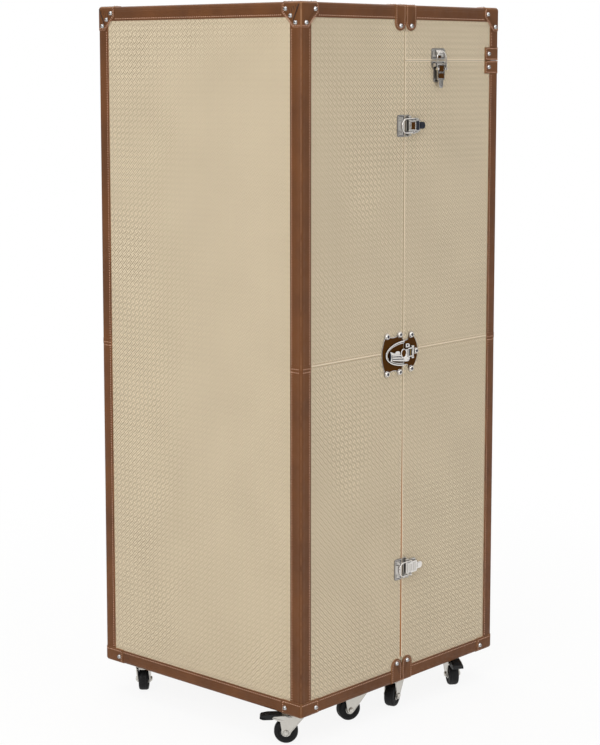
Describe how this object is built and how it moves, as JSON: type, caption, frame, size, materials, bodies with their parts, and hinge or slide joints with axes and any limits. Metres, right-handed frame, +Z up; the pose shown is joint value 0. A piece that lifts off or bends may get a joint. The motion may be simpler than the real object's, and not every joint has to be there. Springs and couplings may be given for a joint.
{
  "type": "wardrobe trunk",
  "caption": "Upright wardrobe trunk: hinged half cases with woven cover, leather edges, metal latches, casters, a lift-up lid, drawers and a sliding garment rail.",
  "frame": {"origin": "on the floor under the middle of the closed trunk", "axes": "+Z up, the front with the lock and latches at -Y, the seam between the halves in the plane X = 0, the half with the lid at +X"},
  "size_m": [0.6821, 0.6194, 1.5234],
  "materials": {
    "board": "plain plywood",
    "rim_wood": "honey-coloured hardwood, satin lacquer",
    "canvas": "matt beige diagonal weave",
    "lining": "matt tan cotton",
    "leather": "brown edge leather with a pale stitched line",
    "cap_leather": "brown leather caps and straps, satin",
    "nickel": "polished nickel",
    "zinc": "zinc-plated steel",
    "aluminium": "satin",
    "cabinet_wood": "brown satin veneer",
    "wheel_rubber": "black, satin"
  },
  "bodies": {
    "left_half": {"left_panels": "board", "left_cover": "canvas", "left_lining": "lining", "left_edge_bindings": "leather", "left_corner_caps": "cap_leather", "left_rivets": "nickel", "left_rim": "rim_wood", "tongue_strips": "aluminium", "left_hinge_leaves": "nickel", "latch_catches": "nickel", "lock_plate_left": "nickel", "left_caster_plates": "zinc", "drawer_cabinet": "cabinet_wood"},
    "right_half": {"right_panels": "board", "right_cover": "canvas", "right_lining": "lining", "right_edge_bindings": "leather", "right_corner_caps": "cap_leather", "right_rivets": "nickel", "right_rim": "rim_wood", "right_hinge_leaves": "nickel", "latch_bases": "nickel", "lock_plate_right": "nickel", "right_caster_plates": "zinc", "rail_bracket": "aluminium"},
    "lid": {"lid_panels": "board", "lid_cover": "canvas", "lid_edge_bindings": "leather", "lid_corner_caps": "cap_leather", "lid_rivets": "nickel", "lid_catch": "nickel", "lid_hinge_leaves": "nickel"},
    "latch_lever_upper": {"latch_lever_upper": "nickel"},
    "latch_loop_upper": {"latch_loop_upper": "nickel"},
    "latch_lever_lower": {"latch_lever_lower": "nickel"},
    "latch_loop_lower": {"latch_loop_lower": "nickel"},
    "latch_lever_lid": {"latch_lever_lid": "nickel"},
    "latch_loop_lid": {"latch_loop_lid": "nickel"},
    "lock_hasp": {"lock_hasp": "nickel"},
    "drawer_1": {"drawer_1": "cabinet_wood"},
    "drawer_2": {"drawer_2": "cabinet_wood"},
    "drawer_3": {"drawer_3": "cabinet_wood"},
    "drawer_4": {"drawer_4": "cabinet_wood"},
    "garment_rail": {"garment_rail": "aluminium"},
    "caster_fork_1": {"caster_fork_1": "zinc"},
    "caster_wheel_1": {"caster_wheel_1": "wheel_rubber"},
    "caster_fork_2": {"caster_fork_2": "zinc"},
    "caster_wheel_2": {"caster_wheel_2": "wheel_rubber"},
    "caster_fork_3": {"caster_fork_3": "zinc"},
    "caster_wheel_3": {"caster_wheel_3": "wheel_rubber"},
    "caster_fork_4": {"caster_fork_4": "zinc"},
    "caster_wheel_4": {"caster_wheel_4": "wheel_rubber"},
    "caster_fork_5": {"caster_fork_5": "zinc"},
    "caster_wheel_5": {"caster_wheel_5": "wheel_rubber"},
    "caster_fork_6": {"caster_fork_6": "zinc"},
    "caster_wheel_6": {"caster_wheel_6": "wheel_rubber"},
    "caster_fork_7": {"caster_fork_7": "zinc"},
    "caster_wheel_7": {"caster_wheel_7": "wheel_rubber"},
    "caster_fork_8": {"caster_fork_8": "zinc"},
    "caster_wheel_8": {"caster_wheel_8": "wheel_rubber"}
  },
  "joints": [
    {"name": "right_half_opening", "type": "hinge", "parent": "left_half", "child": "right_half", "pos_m": [0, 0.3, 0.795], "axis": [0, 0, 1], "range_deg": [0, 180]},
    {"name": "lid_lift", "type": "hinge", "parent": "right_half", "child": "lid", "pos_m": [0.3302, 0, 1.406], "axis": [0, 1, 0], "range_deg": [0, 110]},
    {"name": "latch_upper_lever", "type": "hinge", "parent": "right_half", "child": "latch_lever_upper", "pos_m": [0.01, -0.2995, 1.27], "axis": [0, 0, -1], "range_deg": [0, 120]},
    {"name": "latch_upper_loop", "type": "hinge", "parent": "latch_lever_upper", "child": "latch_loop_upper", "pos_m": [0.018, -0.3035, 1.27], "axis": [0, 0, -1], "range_deg": [-120, 0]},
    {"name": "latch_lower_lever", "type": "hinge", "parent": "right_half", "child": "latch_lever_lower", "pos_m": [0.01, -0.2995, 0.32], "axis": [0, 0, -1], "range_deg": [0, 120]},
    {"name": "latch_lower_loop", "type": "hinge", "parent": "latch_lever_lower", "child": "latch_loop_lower", "pos_m": [0.018, -0.3035, 0.32], "axis": [0, 0, -1], "range_deg": [-120, 0]},
    {"name": "latch_lid_lever", "type": "hinge", "parent": "right_half", "child": "latch_lever_lid", "pos_m": [0.1112, -0.2995, 1.396], "axis": [-1, 0, 0], "range_deg": [0, 120]},
    {"name": "latch_lid_loop", "type": "hinge", "parent": "latch_lever_lid", "child": "latch_loop_lid", "pos_m": [0.1112, -0.3035, 1.388], "axis": [-1, 0, 0], "range_deg": [-120, 0]},
    {"name": "hasp_turn", "type": "hinge", "parent": "right_half", "child": "lock_hasp", "pos_m": [0.024, -0.299, 0.79], "axis": [0, 0, 1], "range_deg": [0, 135]},
    {"name": "drawer_1_slide", "type": "slide", "parent": "left_half", "child": "drawer_1", "axis": [1, 0, 0], "range_m": [0, 0.22]},
    {"name": "drawer_2_slide", "type": "slide", "parent": "left_half", "child": "drawer_2", "axis": [1, 0, 0], "range_m": [0, 0.22]},
    {"name": "drawer_3_slide", "type": "slide", "parent": "left_half", "child": "drawer_3", "axis": [1, 0, 0], "range_m": [0, 0.22]},
    {"name": "drawer_4_slide", "type": "slide", "parent": "left_half", "child": "drawer_4", "axis": [1, 0, 0], "range_m": [0, 0.22]},
    {"name": "garment_rail_slide", "type": "slide", "parent": "right_half", "child": "garment_rail", "axis": [-1, 0, 0], "range_m": [0, 0.2]},
    {"name": "caster_1_swivel", "type": "hinge", "parent": "left_half", "child": "caster_fork_1", "pos_m": [-0.2872, -0.247, 0.062], "axis": [0, 0, 1], "continuous": true},
    {"name": "caster_1_roll", "type": "hinge", "parent": "caster_fork_1", "child": "caster_wheel_1", "pos_m": [-0.30125, -0.23139, 0.025], "axis": [-0.7431, -0.6691, 0], "continuous": true},
    {"name": "caster_2_swivel", "type": "hinge", "parent": "left_half", "child": "caster_fork_2", "pos_m": [-0.0922, -0.247, 0.062], "axis": [0, 0, 1], "continuous": true},
    {"name": "caster_2_roll", "type": "hinge", "parent": "caster_fork_2", "child": "caster_wheel_2", "pos_m": [-0.11123, -0.23813, 0.025], "axis": [-0.4226, -0.9063, 0], "continuous": true},
    {"name": "caster_3_swivel", "type": "hinge", "parent": "right_half", "child": "caster_fork_3", "pos_m": [0.0392, -0.247, 0.062], "axis": [0, 0, 1], "continuous": true},
    {"name": "caster_3_roll", "type": "hinge", "parent": "caster_fork_3", "child": "caster_wheel_3", "pos_m": [0.01923, -0.25349, 0.025], "axis": [0.309, -0.9511, 0], "continuous": true},
    {"name": "caster_4_swivel", "type": "hinge", "parent": "right_half", "child": "caster_fork_4", "pos_m": [0.2342, -0.247, 0.062], "axis": [0, 0, 1], "continuous": true},
    {"name": "caster_4_roll", "type": "hinge", "parent": "caster_fork_4", "child": "caster_wheel_4", "pos_m": [0.22127, -0.26355, 0.025], "axis": [0.788, -0.6157, 0], "continuous": true},
    {"name": "caster_5_swivel", "type": "hinge", "parent": "left_half", "child": "caster_fork_5", "pos_m": [-0.2872, 0.215, 0.062], "axis": [0, 0, 1], "continuous": true},
    {"name": "caster_5_roll", "type": "hinge", "parent": "caster_fork_5", "child": "caster_wheel_5", "pos_m": [-0.27159, 0.22905, 0.025], "axis": [-0.6691, 0.7431, 0], "continuous": true},
    {"name": "caster_6_swivel", "type": "hinge", "parent": "left_half", "child": "caster_fork_6", "pos_m": [-0.0922, 0.215, 0.062], "axis": [0, 0, 1], "continuous": true},
    {"name": "caster_6_roll", "type": "hinge", "parent": "caster_fork_6", "child": "caster_wheel_6", "pos_m": [-0.08676, 0.23528, 0.025], "axis": [-0.9659, 0.2588, 0], "continuous": true},
    {"name": "caster_7_swivel", "type": "hinge", "parent": "right_half", "child": "caster_fork_7", "pos_m": [0.0392, 0.215, 0.062], "axis": [0, 0, 1], "continuous": true},
    {"name": "caster_7_roll", "type": "hinge", "parent": "caster_fork_7", "child": "caster_wheel_7", "pos_m": [0.03555, 0.23568, 0.025], "axis": [-0.9848, -0.1736, 0], "continuous": true},
    {"name": "caster_8_swivel", "type": "hinge", "parent": "right_half", "child": "caster_fork_8", "pos_m": [0.2342, 0.215, 0.062], "axis": [0, 0, 1], "continuous": true},
    {"name": "caster_8_roll", "type": "hinge", "parent": "caster_fork_8", "child": "caster_wheel_8", "pos_m": [0.25239, 0.2255, 0.025], "axis": [-0.5, 0.866, 0], "continuous": true}
  ],
  "couplings": [
    {"joint": "latch_upper_loop", "follows": "latch_upper_lever", "ratio": -1},
    {"joint": "latch_lower_loop", "follows": "latch_lower_lever", "ratio": -1},
    {"joint": "latch_lid_loop", "follows": "latch_lid_lever", "ratio": -1}
  ]
}
